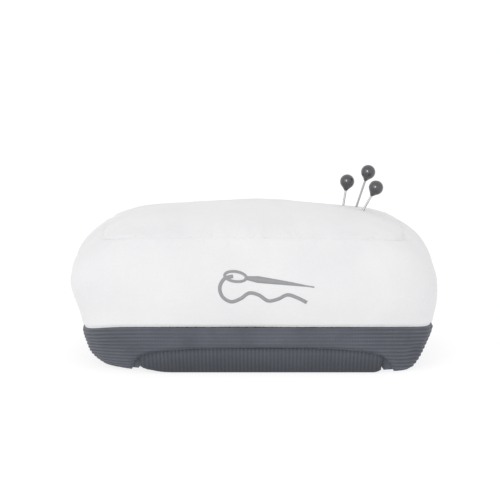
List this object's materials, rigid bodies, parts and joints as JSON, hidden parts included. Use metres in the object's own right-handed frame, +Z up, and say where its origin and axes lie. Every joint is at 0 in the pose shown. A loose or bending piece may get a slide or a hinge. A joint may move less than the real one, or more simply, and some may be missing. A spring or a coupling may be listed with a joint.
{
  "type": "wrist pin cushion",
  "caption": "Boxed, stuffed pin cushion with a white cover, a grey ribbed lower band and a wide elastic wrist strap, holding ball-headed pins that push in and pull out.",
  "frame": {"origin": "on the table, under the middle of the cushion", "axes": "+X along the cushion's length to the right, -Y towards the front, +Z up"},
  "size_m": [0.105, 0.062, 0.0539],
  "materials": {
    "white_cotton": "fine plain weave cotton, matt",
    "grey_rib": "fine ribbed tape, matt",
    "grey_lining": "plain woven lining, matt",
    "grey_elastic": "ribbed woven elastic, matt",
    "stuffing": "packed polyester fibre",
    "guard_plastic": "thin moulded sheet",
    "white_thread": "spun polyester thread",
    "grey_thread": "spun polyester thread",
    "pin_steel": "drawn and polished wire",
    "pin_head": "glossy moulded ball with a short neck"
  },
  "bodies": {
    "cushion": {"top_panel": "white_cotton", "side_band": "white_cotton", "lower_band": "grey_rib", "base_panel": "grey_lining", "filling_core": "stuffing", "guard_plate": "guard_plastic", "strap_front": "grey_elastic", "strap_rear": "grey_elastic", "top_seam_thread": "white_thread", "middle_seam_thread": "grey_thread", "base_seam_thread": "grey_thread", "strap_front_thread": "grey_thread", "strap_rear_thread": "grey_thread", "closing_stitches": "grey_thread"},
    "strap": {"strap_web": "grey_elastic"},
    "pin_left": {"pin_left_shaft": "pin_steel", "pin_left_head": "pin_head"},
    "pin_middle": {"pin_middle_shaft": "pin_steel", "pin_middle_head": "pin_head"},
    "pin_right": {"pin_right_shaft": "pin_steel", "pin_right_head": "pin_head"}
  },
  "joints": [
    {"name": "strap_stretch", "type": "slide", "parent": "cushion", "child": "strap", "axis": [0, 0, -1], "range_m": [0, 0.03], "stiffness_N_per_m": 100, "springref_m": -0.005, "deforming": ["strap_front", "strap_rear"]},
    {"name": "pin_left_slide", "type": "slide", "parent": "cushion", "child": "pin_left", "axis": [0.161, 0.1464, 0.976], "range_m": [-0.0032, 0.0305]},
    {"name": "pin_middle_slide", "type": "slide", "parent": "cushion", "child": "pin_middle", "axis": [0.3079, -0.0475, 0.9502], "range_m": [-0.007, 0.0265]},
    {"name": "pin_right_slide", "type": "slide", "parent": "cushion", "child": "pin_right", "axis": [0.496, 0.0864, 0.864], "range_m": [-0.0048, 0.0305]}
  ]
}
